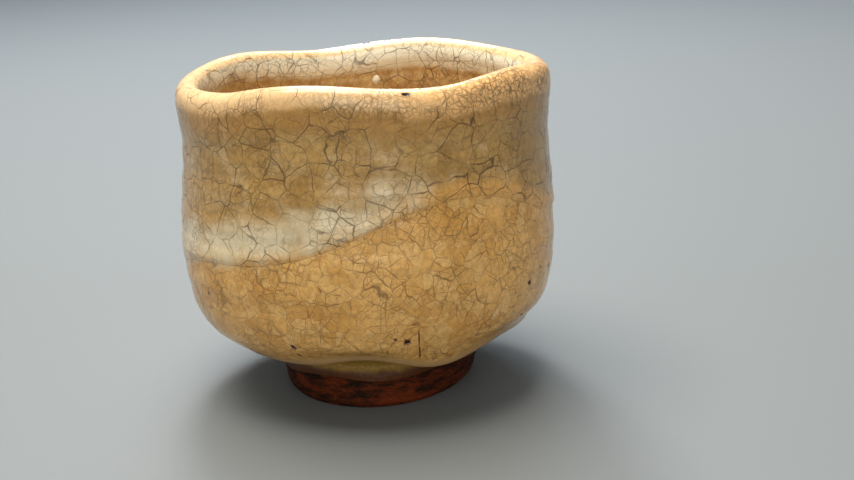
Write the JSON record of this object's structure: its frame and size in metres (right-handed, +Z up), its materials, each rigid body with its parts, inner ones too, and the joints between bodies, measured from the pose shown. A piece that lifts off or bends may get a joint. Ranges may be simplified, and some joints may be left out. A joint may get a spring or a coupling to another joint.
{
  "type": "matcha tea bowl",
  "caption": "Half-cylinder stoneware tea bowl with a rolled wavy lip, crackled amber and milky glazes and a bare turned foot ring.",
  "frame": {"origin": "on the surface the bowl stands on, below the middle of its outer box", "axes": "+Z up out of the mouth; -Y towards the side where the milky glaze's edge climbs highest; +X to the right of that side as it is looked at"},
  "size_m": [0.1132, 0.1129, 0.098],
  "materials": {
    "iron_clay": "bare fired clay, matt and slightly gritty",
    "amber_glaze": "glossy, finely crazed",
    "lining_glaze": "glossy, crazed",
    "milky_glaze": "glossy, with wide crackle lines",
    "thin_glaze": "satin, thin and olive"
  },
  "bodies": {
    "root": {"clay_body": "iron_clay", "foot_ring": "iron_clay", "lining_glaze": "lining_glaze", "amber_glaze": "amber_glaze", "foot_glaze_run": "thin_glaze", "milky_dip_coat": "milky_glaze", "glaze_drop": "milky_glaze"}
  },
  "joints": []
}
